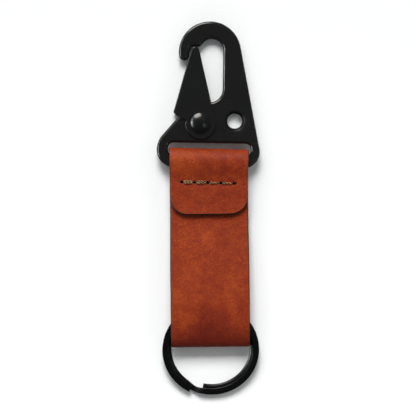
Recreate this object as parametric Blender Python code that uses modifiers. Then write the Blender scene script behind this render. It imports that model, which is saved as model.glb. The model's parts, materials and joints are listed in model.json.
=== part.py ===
"""Leather key strap with a flat snap hook at one end and a split ring at the other.

It lies on its back on a level surface: X runs across the strap, Y along it towards the
hook, Z up. One leather strip runs up the front, round the hook's bar and back, is sewn
through all three layers, and folds round the split ring at the other end. The hook swings
on its bar, the sprung gate turns on its rivet, and the ring turns through the fold.
"""
import bmesh
import bpy
from math import asin, atan2, cos, degrees, hypot, pi, radians, sin, tan
from mathutils import Vector
from mathutils.geometry import interpolate_bezier

mm = 0.001

# Leather strip
strap_width = 25.3 * mm
leather = 1.8 * mm
layer_gap = 0.08 * mm
strap_lean = radians(0.66)        # the strap lies turned a little to the left
strap_shift = 0.35 * mm           # its middle, level with the origin
ply_step = leather + layer_gap
stack_height = 4.1 * mm           # middle of the three sewn layers, and of the hook's bar
hidden_end_y = 10.6 * mm          # the front layer's end, under the flap
flap_end_y = -2.15 * mm
flap_corner = 5.8 * mm
flap_steps = 7
front_crest_y = -31.0 * mm        # where the ring lifts the front layer most
front_crest_z = 7.6 * mm
fold_y = -43.65 * mm              # middle of the leather at the fold round the ring
fold_z = 3.9 * mm

# Sewing: one row of four stitches across the strap, two strands in every hole
stitch_y = 8.0 * mm
stitch_pitch = 4.17 * mm
stitch_shift = -0.14 * mm
stitch_holes = 5
thread = 0.6 * mm
strand_offset = 0.35 * mm

# Hook plate, in its own frame: the origin is the middle of the bar
bar_y = 14.84 * mm
bar_half = 1.96 * mm
plate_half = 1.4 * mm
plate_edge = 0.9 * mm             # rounding of every edge
hook_skew = radians(-1.66)        # the bar lies a little askew in the strap's loop
slot_left = -13.1 * mm
slot_right = 13.4 * mm
slot_top = 6.0 * mm
slot_corner = 1.8 * mm
bar_corner = 0.7 * mm
arch_centre = (-0.17 * mm, 35.1 * mm)
arch_radius = 10.0 * mm
cord_hole = (8.13 * mm, 13.12 * mm)
cord_hole_radius = 2.55 * mm

# Gate, a sheet folded over the plate, with its rivet and its spring
pivot = (-2.88 * mm, 12.36 * mm)
gate_sheet = 0.75 * mm
gate_play = 0.15 * mm
gate_inner = plate_half + gate_play
gate_half = gate_inner + gate_sheet
gate_fold_radius = 0.7 * mm
gate_tip_y = 36.8 * mm
stub_radius = 7.05 * mm           # the plate's round end, hidden inside the gate
shank_radius = 1.5 * mm
bore_radius = 1.65 * mm
dome_radius = 3.1 * mm
dome_height = 2.2 * mm
spring_wire = 0.45 * mm
spring_radius = 2.05 * mm
spring_pocket = 2.6 * mm
pocket_floor = 0.45 * mm
leg_recess_floor = -0.75 * mm

# Split ring: flat wire, two turns, the upper one lying a little outside the lower
ring_centre = (0.2 * mm, -45.3 * mm)
ring_height = 3.06 * mm
ring_tilt = radians(8.0)          # the fold holds the ring's hidden side up
ring_start_radius = 14.87 * mm
ring_pitch = 0.87 * mm            # how much each turn closes in
ring_oval = 0.97                  # the ring is a little out of round
wire_width = 1.85 * mm
wire_height = 1.1 * mm
turn_gap = 0.06 * mm
ring_sweep = 702.0                # degrees of wire, from the upper end to the lower end
ring_first_angle = 242.4
jog_start = 343.5                 # degrees along the wire where it steps down a level
jog_end = 358.5

# The hook's far end lies low: its gate touches the surface
rest_tilt = asin((stack_height - gate_half) / (gate_tip_y - gate_fold_radius))


def clear_scene():
    for item in list(bpy.data.objects):
        bpy.data.objects.remove(item, do_unlink=True)


def new_collection(name):
    collection = bpy.data.collections.new(name)
    bpy.context.scene.collection.children.link(collection)
    return collection


def surface(name, colour, roughness, metallic=0.0):
    material = bpy.data.materials.new(name)
    material.use_nodes = True
    shader = material.node_tree.nodes["Principled BSDF"]
    shader.inputs["Base Color"].default_value = (*colour, 1.0)
    shader.inputs["Roughness"].default_value = roughness
    shader.inputs["Metallic"].default_value = metallic
    return material


def frame(name, parent=None, location=(0, 0, 0), rotation=(0, 0, 0)):
    empty = bpy.data.objects.new(name, None)
    parts.objects.link(empty)
    empty.parent = parent
    empty.location = location
    empty.rotation_euler = rotation
    empty.empty_display_size = 5 * mm
    return empty


def add_part(name, data, parent, material):
    item = bpy.data.objects.new(name, data)
    parts.objects.link(item)
    item.parent = parent
    data.materials.append(material)
    return item


def add_cutter(name, data, parent):
    item = bpy.data.objects.new(name, data)
    cutters.objects.link(item)
    item.parent = parent
    item.hide_render = True
    item.display_type = "WIRE"
    return item


def mesh_from(name, bm):
    bmesh.ops.recalc_face_normals(bm, faces=bm.faces)
    mesh = bpy.data.meshes.new(name)
    bm.to_mesh(mesh)
    bm.free()
    return mesh


def cut(item, cutter, label):
    modifier = item.modifiers.new(label, "BOOLEAN")
    modifier.operation = "DIFFERENCE"
    modifier.object = cutter


def smooth(mesh, angle=35):
    mesh.shade_smooth()
    mesh.set_sharp_from_angle(angle=radians(angle))


def arc(centre, radius, start, end, steps):
    """Points on a circle, from one angle to another in degrees."""
    turns = [radians(start + (end - start) * i / steps) for i in range(steps + 1)]
    return [(centre[0] + radius * cos(a), centre[1] + radius * sin(a)) for a in turns]


def bend(points, steps):
    """A smooth bend through the first and last of four points, without its first point."""
    return [tuple(p) for p in interpolate_bezier(*map(Vector, points), steps + 1)][1:]


def smooth_step(value):
    value = min(max(value, 0.0), 1.0)
    return value * value * (3 - 2 * value)


def curve_mesh(curve, name):
    """The curve as a closed mesh, with its caps welded on."""
    item = bpy.data.objects.new(name, curve)
    parts.objects.link(item)
    shape = item.evaluated_get(bpy.context.evaluated_depsgraph_get())
    mesh = bpy.data.meshes.new_from_object(shape)
    bpy.data.objects.remove(item)
    bpy.data.curves.remove(curve)
    bm = bmesh.new()
    bm.from_mesh(mesh)
    bmesh.ops.remove_doubles(bm, verts=bm.verts, dist=0.001 * mm)
    bpy.data.meshes.remove(mesh)
    return mesh_from(name, bm)


def add_spline(curve, points, cyclic=True):
    spline = curve.splines.new("POLY")
    spline.points.add(len(points) - 1)
    for slot, point in zip(spline.points, points):
        slot.co = (*point, 0.0, 1.0) if len(point) == 2 else (*point, 1.0)
    spline.use_cyclic_u = cyclic


def wire_curve(name, points, radius):
    curve = bpy.data.curves.new(name, "CURVE")
    curve.dimensions = "3D"
    curve.bevel_depth = radius
    curve.bevel_resolution = 2
    curve.use_fill_caps = True
    add_spline(curve, points, cyclic=False)
    return curve


def round_corners(points, radius, steps=3):
    """The same route with each of its corners turned into a short bend."""
    route = [Vector(p) for p in points]
    rounded = [route[0]]
    for before, corner, after in zip(route, route[1:], route[2:]):
        start = corner + (before - corner).normalized() * radius
        end = corner + (after - corner).normalized() * radius
        rounded += interpolate_bezier(start, corner.lerp(start, 0.45), corner.lerp(end, 0.45), end, steps + 1)
    return rounded + [route[-1]]


# Leather strap

def loop_skew(x, y):
    """How far the sewn end of the strap is drawn askew by the hook's bar."""
    return x * tan(hook_skew) * smooth_step(y / stitch_y)


def strap_route():
    """The middle of the leather seen from the side, from the hidden end to the flap's end."""
    flat = leather / 2
    lower = stack_height - ply_step
    upper = stack_height + ply_step
    loop = stack_height - flat
    route = [(hidden_end_y, stack_height), (stitch_y, stack_height), (5 * mm, stack_height)]
    front_start = (2 * mm, stack_height)
    crest = (front_crest_y, front_crest_z)
    fold = (fold_y, fold_z)
    route += [front_start]
    route += bend((front_start, (-3 * mm, stack_height), (-24 * mm, front_crest_z), crest), 12)
    route += bend((crest, (-37 * mm, front_crest_z), (fold_y, 6.3 * mm), fold), 10)
    route += bend((fold, (fold_y, 1.9 * mm), (-41.5 * mm, flat), (-37 * mm, flat)), 7)
    route += [(-23 * mm, flat), (-8 * mm, flat)]
    route += bend(((-8 * mm, flat), (0, flat), (4 * mm, lower), (stitch_y, lower)), 8)
    loop_start = (bar_y, stack_height - loop)
    route += bend(((stitch_y, lower), (10.6 * mm, lower), (12.2 * mm, flat), loop_start), 6)
    route += arc((bar_y, stack_height), loop, -90, 90, 14)[1:]
    loop_end = (bar_y, stack_height + loop)
    route += bend((loop_end, (12.2 * mm, loop_end[1]), (10.6 * mm, upper), (stitch_y, upper)), 6)
    corner_start = (flap_end_y + flap_corner, upper)
    route += [(5.6 * mm, upper), corner_start]
    route += flap_end_points(corner_start)
    return route


def flap_end_points(start):
    """The flap's last stretch, which lies on the rising front layer."""
    points = []
    rise = 0.38 * mm
    for i in range(1, flap_steps + 1):
        reach = sin(pi / 2 * i / flap_steps)
        points.append((start[0] - flap_corner * reach, start[1] + rise * reach * reach))
    return points


def corner_inset(y):
    """How much narrower the flap is on each side, in its round corners."""
    into = (flap_end_y + flap_corner - y) / flap_corner
    if into <= 0:
        return 0.0
    return flap_corner * (1 - cos(asin(min(into, 1.0))))


def strap_mesh():
    strips = 6
    bm = bmesh.new()
    route = strap_route()
    line = [bm.verts.new((-strap_width / 2, y, z)) for y, z in route]
    flap_first = len(route) - flap_steps - 1
    edges = [bm.edges.new(pair) for pair in zip(line, line[1:])]
    rows = [[v] for v in line]
    for _ in range(strips):
        grown = bmesh.ops.extrude_edge_only(bm, edges=edges)["geom"]
        fresh = [g for g in grown if isinstance(g, bmesh.types.BMVert)]
        edges = [e for e in grown if isinstance(e, bmesh.types.BMEdge) and all(v in fresh for v in e.verts)]
        bmesh.ops.translate(bm, verts=fresh, vec=(strap_width / strips, 0, 0))
        bm.verts.ensure_lookup_table()
        for vert in fresh:
            nearest = min(range(len(route)), key=lambda i: hypot(vert.co.y - route[i][0], vert.co.z - route[i][1]))
            rows[nearest].append(vert)
    for index, row in enumerate(rows):
        inset = corner_inset(route[index][0]) if index >= flap_first else 0.0
        for vert in row:
            vert.co.x *= 1 - 2 * inset / strap_width
            vert.co.y += loop_skew(vert.co.x, vert.co.y)
    return mesh_from("leather_strap", bm)


def hole_x(index):
    return stitch_shift + stitch_pitch * (index - (stitch_holes - 1) / 2)


def stitch_hole_cutter():
    """One oval awl hole for each stitch end, through all three layers."""
    bm = bmesh.new()
    for index in range(stitch_holes):
        x = hole_x(index)
        made = bmesh.ops.create_cone(
            bm, cap_ends=True, segments=20, radius1=0.5 * mm, radius2=0.5 * mm, depth=2 * stack_height)
        bmesh.ops.scale(bm, verts=made["verts"], vec=(1, 1.65, 1))
        bmesh.ops.translate(bm, verts=made["verts"], vec=(x, stitch_y + loop_skew(x, stitch_y), stack_height))
    return add_cutter("stitch_holes", mesh_from("stitch_holes", bm), strap_frame)


def ring_groove_cutter():
    """The space that the ring needs as it turns, pressed into the edges of the fold."""
    room = 0.3 * mm
    inner = 11.6 * mm
    outer = 17.0 * mm
    half = wire_height + turn_gap / 2 + room
    bm = bmesh.new()
    corners = [(inner, 0, -half), (outer, 0, -half), (outer, 0, half), (inner, 0, half)]
    verts = [bm.verts.new(c) for c in corners]
    edges = [bm.edges.new((verts[i], verts[(i + 1) % 4])) for i in range(4)]
    bmesh.ops.spin(bm, geom=verts + edges, cent=(0, 0, 0), axis=(0, 0, 1), angle=2 * pi, steps=96, use_merge=True)
    return add_cutter("ring_groove", mesh_from("ring_groove", bm), ring_frame)


def build_strap():
    strap = add_part("leather_strap", strap_mesh(), strap_frame, brown_leather)
    shell = strap.modifiers.new("thickness", "SOLIDIFY")
    shell.thickness = leather
    shell.offset = 0.0
    shell.use_even_offset = True
    cut(strap, stitch_hole_cutter(), "stitch holes")
    cut(strap, ring_groove_cutter(), "ring groove")


def thread_route():
    """Along the row on one strand and back on the other, over and under in turn."""
    clear = thread / 2 + 0.05 * mm
    front = stack_height + ply_step + leather / 2 + clear
    back = stack_height - ply_step - leather / 2 - clear
    tail = hole_x(0) - 1.2 * mm
    there = [(index, strand_offset) for index in range(stitch_holes)]
    back_again = [(index, -strand_offset) for index in reversed(range(stitch_holes - 1))]
    route = [(tail, strand_offset, back)]
    level = back
    for index, side in there + back_again:
        route.append((hole_x(index), side, level))
        level = front + back - level
        route.append((hole_x(index), side, level))
    return route[:-1] + [(tail, -strand_offset, back)]


def build_thread():
    route = thread_route()
    placed = [(x, stitch_y + side + loop_skew(x, stitch_y), z) for x, side, z in route]
    curve = wire_curve("stitch_thread", round_corners(placed, 0.35 * mm), thread / 2)
    mesh = curve_mesh(curve, "stitch_thread")
    smooth(mesh)
    add_part("stitch_thread", mesh, strap_frame, tan_thread)


# Hook plate

def plate_outline():
    """Anticlockwise: the bar, the right limb, the arch, the nose, then back down the window's
    edge to the round stub under the gate, and the left shoulder."""
    right_slope = 11.45
    points = arc((11.1 * mm, 3.29 * mm), 5.25 * mm, -90, right_slope, 10)
    points += arc(arch_centre, arch_radius, right_slope, 184, 24)
    points += arc((-8.45 * mm, 34.05 * mm), 1.6 * mm, 190, 340, 10)
    points += [(-6.45 * mm, 36.3 * mm)]
    points += arc((-5.75 * mm, 36.3 * mm), 0.7 * mm, 160, 90, 4)
    points += arc((-4.0 * mm, 38.1 * mm), 1.2 * mm, -92, -45, 4)
    points += arc((0.25 * mm, 35.75 * mm), 3.72 * mm, 125, 0, 12)
    points += arc((-0.41 * mm, 23.2 * mm), 4.26 * mm, 0, -84, 8)
    points += arc(pivot, stub_radius, 72, 160, 9)
    points += arc((-9.19 * mm, 3.5 * mm), 7.52 * mm, 135.6, 176, 5)
    points += arc((-11.19 * mm, 3.54 * mm), 5.5 * mm, 180, 270, 9)
    return points


def slot_outline():
    """Round at the arch's side, and nearly square at the bar, where the leather fills it."""
    points = []
    for side, level, radius, start in (
            (slot_right, bar_half, bar_corner, -90), (slot_right, slot_top, slot_corner, 0),
            (slot_left, slot_top, slot_corner, 90), (slot_left, bar_half, bar_corner, 180)):
        x = side - radius if side > 0 else side + radius
        y = level + radius if level == bar_half else level - radius
        points += arc((x, y), radius, start, start + 90, 5)
    return points


def build_hook_plate():
    curve = bpy.data.curves.new("hook_plate", "CURVE")
    curve.dimensions = "2D"
    curve.fill_mode = "BOTH"
    curve.bevel_depth = plate_edge
    curve.bevel_resolution = 2
    curve.offset = -plate_edge
    curve.extrude = plate_half - plate_edge
    add_spline(curve, plate_outline())
    add_spline(curve, slot_outline())
    add_spline(curve, arc(cord_hole, cord_hole_radius, 0, 345, 23))
    plate = add_part("hook_plate", curve_mesh(curve, "hook_plate"), hook_frame, black_paint)
    smooth(plate.data, 50)
    cut(plate, cylinder_cutter("plate_bore", bore_radius, -2 * plate_half, 2 * plate_half), "rivet bore")
    cut(plate, cylinder_cutter("pocket", spring_pocket, -2 * plate_half, pocket_floor), "spring pocket")
    cut(plate, spring_end_cutter(), "spring end hole")
    cut(plate, spring_leg_cutter(), "spring leg recess")


def cylinder_cutter(name, radius, bottom, top, centre=(0, 0)):
    bm = bmesh.new()
    bmesh.ops.create_cone(bm, cap_ends=True, segments=40, radius1=radius, radius2=radius, depth=top - bottom)
    bmesh.ops.translate(bm, verts=bm.verts, vec=(*centre, (top + bottom) / 2))
    return add_cutter(name, mesh_from(name, bm), gate_frame)


def spring_end_cutter():
    return cylinder_cutter("spring_end_hole", 0.4 * mm, 0, plate_half - 0.3 * mm, (0, -spring_radius))


def spring_leg_cutter():
    """A fan-shaped recess in the plate's back, where the spring's long leg swings."""
    corners = [(1.4 * mm, 1.2 * mm), (1.4 * mm, 2.4 * mm), (-5.16 * mm, 7.4 * mm), (-8.3 * mm, 3.4 * mm)]
    bottom = -2 * plate_half
    bm = bmesh.new()
    base = bm.faces.new([bm.verts.new((x, y, bottom)) for x, y in corners])
    lifted = bmesh.ops.extrude_face_region(bm, geom=[base])["geom"]
    top = [g for g in lifted if isinstance(g, bmesh.types.BMVert)]
    bmesh.ops.translate(bm, verts=top, vec=(0, 0, leg_recess_floor - bottom))
    return add_cutter("spring_leg_recess", mesh_from("spring_leg_recess", bm), gate_frame)


# Gate

def gate_fold_side(inset=0.0):
    """The closed side of the gate: up the fold and round the tip. The inset is the same line
    further in by the thickness of the sheet."""
    lean = atan2(20.4, 5.4)
    corner = Vector((-11.59 * mm, 15.41 * mm)) + Vector((sin(lean), -cos(lean))) * inset
    tip = (-4.93 * mm, 35.45 * mm)
    return [tuple(corner)] + arc(tip, 1.33 * mm - inset, degrees(lean) + 90, 15, 8)


def gate_outline():
    """The fold side first, then down the open side, round the rivet and out to the ear."""
    round_end = arc((-2.75 * mm, 11.9 * mm), 4.85 * mm, 13.3, -195, 22)
    return gate_fold_side() + round_end + [(-8.9 * mm, 13.7 * mm)]


def to_pivot(points):
    """The gate's mesh has its origin on the rivet's axis."""
    return [(x - pivot[0], y - pivot[1]) for x, y in points]


def slab(points, half):
    bm = bmesh.new()
    base = bm.faces.new([bm.verts.new((x, y, -half)) for x, y in points])
    lifted = bmesh.ops.extrude_face_region(bm, geom=[base])["geom"]
    top = [g for g in lifted if isinstance(g, bmesh.types.BMVert)]
    bmesh.ops.translate(bm, verts=top, vec=(0, 0, 2 * half))
    bmesh.ops.recalc_face_normals(bm, faces=bm.faces)
    return bm


def gate_body():
    points = to_pivot(gate_outline())
    fold_count = len(gate_fold_side())
    fold = [Vector(p) for p in points[:fold_count]]
    bm = slab(points, gate_half)

    def on_fold(vert):
        return any((vert.co.xy - p).length < 1e-6 for p in fold)

    rim = [e for e in bm.edges if all(on_fold(v) for v in e.verts)
           and abs(e.verts[0].co.z - e.verts[1].co.z) < 1e-9]
    bmesh.ops.bevel(bm, geom=rim, offset=gate_fold_radius, segments=4, profile=0.5, affect="EDGES")
    return mesh_from("gate", bm)


def gate_inside_cutter():
    """The space between the two cheeks, open along the window and at the rivet's end."""
    inner_side = gate_fold_side(gate_sheet)
    beyond = [(6 * mm, 34 * mm), (6 * mm, 3 * mm), (-12 * mm, 3 * mm)]
    start = Vector(inner_side[0]) - Vector((5.4, 20.4)).normalized() * 3 * mm
    bm = slab(to_pivot([tuple(start)] + inner_side[1:] + beyond), gate_inner)
    return add_cutter("gate_inside", mesh_from("gate_inside", bm), gate_frame)


def build_gate():
    gate = add_part("gate", gate_body(), gate_frame, black_paint)
    smooth(gate.data, 30)
    cut(gate, gate_inside_cutter(), "between the cheeks")
    cut(gate, cylinder_cutter("gate_bore", bore_radius, -2 * gate_half, 2 * gate_half), "rivet bore")


def build_rivet():
    """A domed head in front, a plain shank, and a flat rolled tail behind."""
    seat = gate_half + 0.08 * mm
    tail = 2.6 * mm
    dome = [(dome_radius * sin(radians(a)), seat + 0.2 * mm + (dome_height - 0.2 * mm) * cos(radians(a)))
            for a in range(0, 91, 9)]
    profile = dome + [
        (dome_radius, seat + 0.1 * mm), (dome_radius - 0.1 * mm, seat), (shank_radius, seat),
        (shank_radius, -seat), (tail, -seat), (tail, -seat - 0.35 * mm),
        (tail - 0.3 * mm, -seat - 0.7 * mm), (0.9 * mm, -seat - 0.7 * mm), (0, -seat - 0.45 * mm)]
    bm = bmesh.new()
    verts = [bm.verts.new((x, 0, z)) for x, z in profile]
    for pair in zip(verts, verts[1:]):
        bm.edges.new(pair)
    mesh = bpy.data.meshes.new("gate_rivet")
    bm.to_mesh(mesh)
    bm.free()
    rivet = add_part("gate_rivet", mesh, gate_frame, black_paint)
    turned = rivet.modifiers.new("turned", "SCREW")
    turned.steps = 40
    turned.render_steps = 40
    turned.use_merge_vertices = True
    turned.merge_threshold = 0.00001
    turned.use_smooth_shade = True


def spring_route():
    """The long leg from the fold to the coil, the coil round the shank, and the short end
    that stands in its hole in the pocket's floor."""
    low = -1.1 * mm
    high = 0.12 * mm
    first = 74.0
    wound = 884.0
    steps = 54
    route = [(-7.15 * mm, 4.12 * mm, low), (-3.3 * mm, 3.05 * mm, low)]
    for i in range(steps + 1):
        angle = radians(first - wound * i / steps)
        route.append((spring_radius * cos(angle), spring_radius * sin(angle), low + (high - low) * i / steps))
    x, y, z = route[-1]
    route += [(x, y, z + 0.25 * mm), (x, y, z + 0.6 * mm)]
    return route


def build_spring():
    mesh = curve_mesh(wire_curve("gate_spring", spring_route(), spring_wire / 2), "gate_spring")
    smooth(mesh)
    add_part("gate_spring", mesh, gate_frame, spring_steel)


# Split ring

def ring_route():
    points = []
    steps = 117
    level = (wire_height + turn_gap) / 2
    for i in range(steps + 1):
        along = ring_sweep * i / steps
        angle = radians(ring_first_angle - along)
        radius = ring_start_radius - ring_pitch * along / 360
        drop = smooth_step((along - jog_start) / (jog_end - jog_start))
        points.append((radius * cos(angle), ring_oval * radius * sin(angle), level * (1 - 2 * drop)))
    return points


def wire_section():
    """The flat wire's section, with small round corners."""
    corner = 0.3 * mm
    across = wire_width / 2 - corner
    tall = wire_height / 2 - corner
    points = []
    for x, y, start in ((across, tall, 0), (-across, tall, 90), (-across, -tall, 180), (across, -tall, 270)):
        points += arc((x, y), corner, start, start + 90, 2)
    section = bpy.data.curves.new("wire_section", "CURVE")
    section.dimensions = "2D"
    section.fill_mode = "NONE"
    add_spline(section, points)
    return add_cutter("wire_section", section, None)


def build_ring():
    curve = bpy.data.curves.new("split_ring", "CURVE")
    curve.dimensions = "3D"
    curve.twist_mode = "Z_UP"
    curve.bevel_mode = "OBJECT"
    curve.bevel_object = wire_section()
    curve.use_fill_caps = True
    add_spline(curve, ring_route(), cyclic=False)
    mesh = curve_mesh(curve, "split_ring")
    smooth(mesh, 40)
    add_part("split_ring", mesh, ring_frame, black_paint)


clear_scene()
parts = new_collection("leather_keychain")
cutters = new_collection("cutters")
brown_leather = surface("brown_leather", (0.29, 0.045, 0.016), 0.55)
tan_thread = surface("tan_thread", (0.42, 0.24, 0.09), 0.7)
black_paint = surface("black_paint", (0.012, 0.012, 0.012), 0.35)
spring_steel = surface("spring_steel", (0.55, 0.55, 0.55), 0.3, 1.0)
strap_frame = frame("strap_frame", None, (strap_shift, 0, 0), (0, 0, strap_lean))
hook_frame = frame("hook_frame", strap_frame, (0, bar_y, stack_height), (-rest_tilt, 0, hook_skew))
gate_frame = frame("gate_frame", hook_frame, (*pivot, 0))
ring_frame = frame("ring_frame", strap_frame, (*ring_centre, ring_height), (ring_tilt, 0, 0))
build_strap()
build_thread()
build_hook_plate()
build_gate()
build_rivet()
build_spring()
build_ring()
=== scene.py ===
"""The finished look of a leather key strap with a flat snap hook and a split ring.

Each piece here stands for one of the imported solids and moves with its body. The strap is cut
flat, has its edges rounded, is folded, and is then punched and sewn. The hook is a pressed plate
with rolled edges and a folded, sprung gate. The ring is wound from flat wire.
"""
import json
from math import asin, atan2, cos, degrees, exp, pi, radians, sin, sqrt, tan

import bmesh
import bpy
from mathutils import Matrix, Vector, noise
from mathutils.geometry import interpolate_bezier


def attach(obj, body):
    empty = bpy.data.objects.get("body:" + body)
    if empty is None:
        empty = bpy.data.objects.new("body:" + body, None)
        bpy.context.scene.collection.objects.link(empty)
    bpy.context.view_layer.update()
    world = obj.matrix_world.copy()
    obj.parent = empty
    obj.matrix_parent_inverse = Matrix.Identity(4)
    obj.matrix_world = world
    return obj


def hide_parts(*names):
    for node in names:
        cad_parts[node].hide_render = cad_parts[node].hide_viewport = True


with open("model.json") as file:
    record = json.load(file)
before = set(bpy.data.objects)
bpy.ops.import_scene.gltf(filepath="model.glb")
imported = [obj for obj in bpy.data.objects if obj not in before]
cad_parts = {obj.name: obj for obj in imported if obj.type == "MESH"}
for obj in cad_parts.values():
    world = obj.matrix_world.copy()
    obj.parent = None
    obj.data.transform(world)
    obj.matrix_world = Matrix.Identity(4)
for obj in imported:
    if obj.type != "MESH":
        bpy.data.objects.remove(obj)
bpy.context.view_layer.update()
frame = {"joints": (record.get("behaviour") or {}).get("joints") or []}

mm = 0.001
cm = 0.01
touching = 0.001 * mm             # any closer, and two points are one

# Strap
strap_width = 25.3 * mm
leather = 1.8 * mm
layer_gap = 0.08 * mm
strap_lean = radians(0.66)
strap_shift = 0.35 * mm
layer_step = leather + layer_gap
stack_height = 4.1 * mm           # middle of the sewn layers, and of the hook's bar
hidden_end_y = 10.6 * mm
flap_end_y = -2.15 * mm
flap_corner = 5.8 * mm
flap_lift = 0.38 * mm             # the flap's end stands off the layer below by this much
front_crest = (-31.0 * mm, 7.6 * mm)  # along the strap, and up, of the middle of the leather
fold = (-43.65 * mm, 4.7 * mm)
edge_round = 0.25 * mm
wave_height = 0.16 * mm           # the small unevenness of worked leather
wave_width = 11 * mm
wave_length = 14 * mm
wave_pattern = 2.7
wave_start_y = -3 * mm            # it starts here
wave_rise = 8 * mm                # and is there in full after this much
wave_end_y = -40 * mm             # and from here it fades out towards the fold
wave_fall = 4 * mm
# Clouds in the dye. The last and darkest, across the fold at the ring's end, is partly darker dye and
# partly painted shade where the fold turns away from the light
dye_and_fold_shade_clouds = (  # place in mm, reach across and along in mm, and how much paler or darker
    (-9.5, 15.0, 5.0, 4.5, 0.24), (-0.8, -10.0, 2.6, 4.5, 0.22), (-7.0, -11.0, 2.6, 4.5, 0.15),
    (-5.5, -20.5, 3.5, 4.0, 0.14), (-8.5, -28.0, 3.5, 3.5, 0.18), (8.0, -24.5, 2.4, 4.5, 0.18),
    (6.5, -30.0, 2.6, 3.2, 0.12), (8.5, -35.0, 4.0, 2.6, 0.06), (-8.0, -36.0, 3.4, 4.5, 0.17),
    (0.5, -36.5, 4.5, 4.0, -0.34), (4.5, 12.5, 7.0, 3.0, -0.08), (4.5, 3.0, 7.0, 4.0, -0.1),
    (0.0, -45.5, 20.0, 5.5, -0.7))
cloud_break = 7.0                 # in mm: how far the outlines of the clouds are broken up
edge_steps = 3
strip_columns = 40
strip_spacing = 0.6 * mm
bar_y = 14.84 * mm
hook_skew = radians(-2.25)
hook_pull = 0.12 * mm             # the loop is drawn this far towards the hook
hook_taper = 0.011                # and this share narrower there
taper_start_y = -20 * mm
taper_rise = 18 * mm
loop_spread = 0.45 * mm           # but the bar has spread its right side
loop_start_y = 11.3 * mm
loop_rise = 4.7 * mm              # from the loop's start to where it is spread in full

# Sewing
stitch_y = 8.0 * mm
stitch_pitch = 4.17 * mm
stitch_shift = -0.14 * mm
stitch_holes = 5
hole_across = 1.5 * mm
hole_along = 0.95 * mm
ply_radius = 0.2 * mm
ply_offset = 0.19 * mm
ply_turn = 2.1 * mm               # length of thread in which a ply goes once round
strand_offset = 0.27 * mm
hole_clear = 0.42 * mm            # from the middle of a hole to the thread in it
back_proud = 0.12 * mm            # how far the stitches behind stand off the leather
tail_proud = 0.2 * mm
tail_length = 1.1 * mm
dimple_depth = 0.2 * mm           # the sewing has drawn the leather in along its row
dimple_reach = 0.95 * mm
dimple_end = -0.2 * mm            # past the last holes
dimple_fade = 1.2 * mm

# Hook plate
bar_half = 1.96 * mm
plate_half = 1.4 * mm
plate_edge = 0.9 * mm
plate_edge_steps = 6
slot_left = -13.1 * mm
slot_right = 13.4 * mm
slot_top = 6.0 * mm
slot_corner = 1.8 * mm
bar_corner = 1.7 * mm
arch_centre = (-0.17 * mm, 35.1 * mm)
arch_radius = 10.0 * mm
cord_hole = (8.12 * mm, 13.18 * mm)
cord_hole_radius = 2.42 * mm
cord_hole_sink = 0.6 * mm         # the hole is this much wider on the slope of its flare
cord_hole_flare = 0.95 * mm       # and this much at the plate's faces

# Gate, rivet and spring
pivot = (-2.88 * mm, 12.36 * mm)
gate_sheet = 0.75 * mm
gate_inner = plate_half + 0.15 * mm
gate_half = gate_inner + gate_sheet
gate_fold_radius = 0.45 * mm
gate_edge_break = 0.24 * mm
gate_ear = (-11.59 * mm, 15.41 * mm)
gate_ear_round = 0.42 * mm
gate_ear_inner = (-8.9 * mm, 13.7 * mm)
gate_rise = (5.4, 20.4)           # across and up, the slant of its closed side
stub_radius = 7.05 * mm           # of the plate round the pivot, under the gate
shank_radius = 1.5 * mm
bore_radius = 1.65 * mm
dome_radius = 3.1 * mm
dome_height = 0.92 * mm           # of the domed part, above a low straight rim
dome_rim = 1.15 * mm
dome_edge = 0.22 * mm
seat_edge = 0.12 * mm
rivet_tail = 2.6 * mm
rivet_play = (0.04 * mm, -0.09 * mm, 0)  # it has settled this far off the middle of its bore
spring_wire = 0.45 * mm
spring_radius = 2.05 * mm
spring_pocket = 2.6 * mm          # radius
spring_pocket_top = 0.45 * mm
spring_end_hole = 0.38 * mm       # radius
spring_end_top = plate_half - 0.3 * mm
spring_low = -1.1 * mm
spring_high = 0.12 * mm
leg_recess_top = -0.75 * mm
leg_recess = (  # measured from the pivot
    (1.4 * mm, 1.2 * mm), (1.4 * mm, 2.4 * mm), (-5.16 * mm, 7.4 * mm), (-8.3 * mm, 3.4 * mm))

# Split ring
ring_start_radius = 14.8 * mm
ring_pitch = 0.8 * mm
ring_oval = 0.97
wire_width = 2.1 * mm
wire_height = 1.1 * mm
wire_corner = 0.2 * mm
turn_gap = 0.03 * mm
ring_sweep = 705.0                # in degrees, as are all places along the wire
ring_first_angle = 242.4
jog_start = 343.5                 # the wire dives under its own end here
jog_end = 358.5
jog_bulge = 0.4 * mm              # it swings out there
jog_bulge_at = (353.5, 9)         # place and reach
jog_pinch = 0.2                   # and is this share narrower
jog_twist = radians(-20)
jog_twist_at = (350, 7)
inner_curl = 0.25 * mm            # the inner end springs in this far
inner_curl_at = (560, 100)        # where it starts, and how soon it is there in full
inner_wear = 0.42 * mm            # the lower turn is worn round towards the middle
inner_wear_at = (362, 15)
wear_line = -0.2 * mm             # across the wire, where the wear starts
wear_across = 0.85 * mm
wear_roundness = 1.3

# Room for the ring: its two turns have pressed the edges of the fold in
ring_rooms = (11.4 * mm, 12.4 * mm)  # left free round the lower and the upper turn
rooms_meet = 0.35 * mm            # the height in which one gives way to the other
press_start = 9.6 * mm            # the leather gives way from here outwards
press_near = 4 * mm               # this near the fold's line
press_middle = -0.17 * mm         # and in a band at this height in the ring
press_half = 1.37 * mm
press_fade = 0.45 * mm
press_spare = 0.2 * mm


# Places

def joint(name):
    return next(j for j in frame["joints"] if j["name"] == name)


def place(origin, x_axis, z_axis):
    """The matrix of a frame with these axes at this point."""
    z = Vector(z_axis).normalized()
    y = z.cross(Vector(x_axis)).normalized()
    matrix = Matrix((y.cross(z), y, z)).transposed().to_4x4()
    matrix.translation = origin
    return matrix


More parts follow.
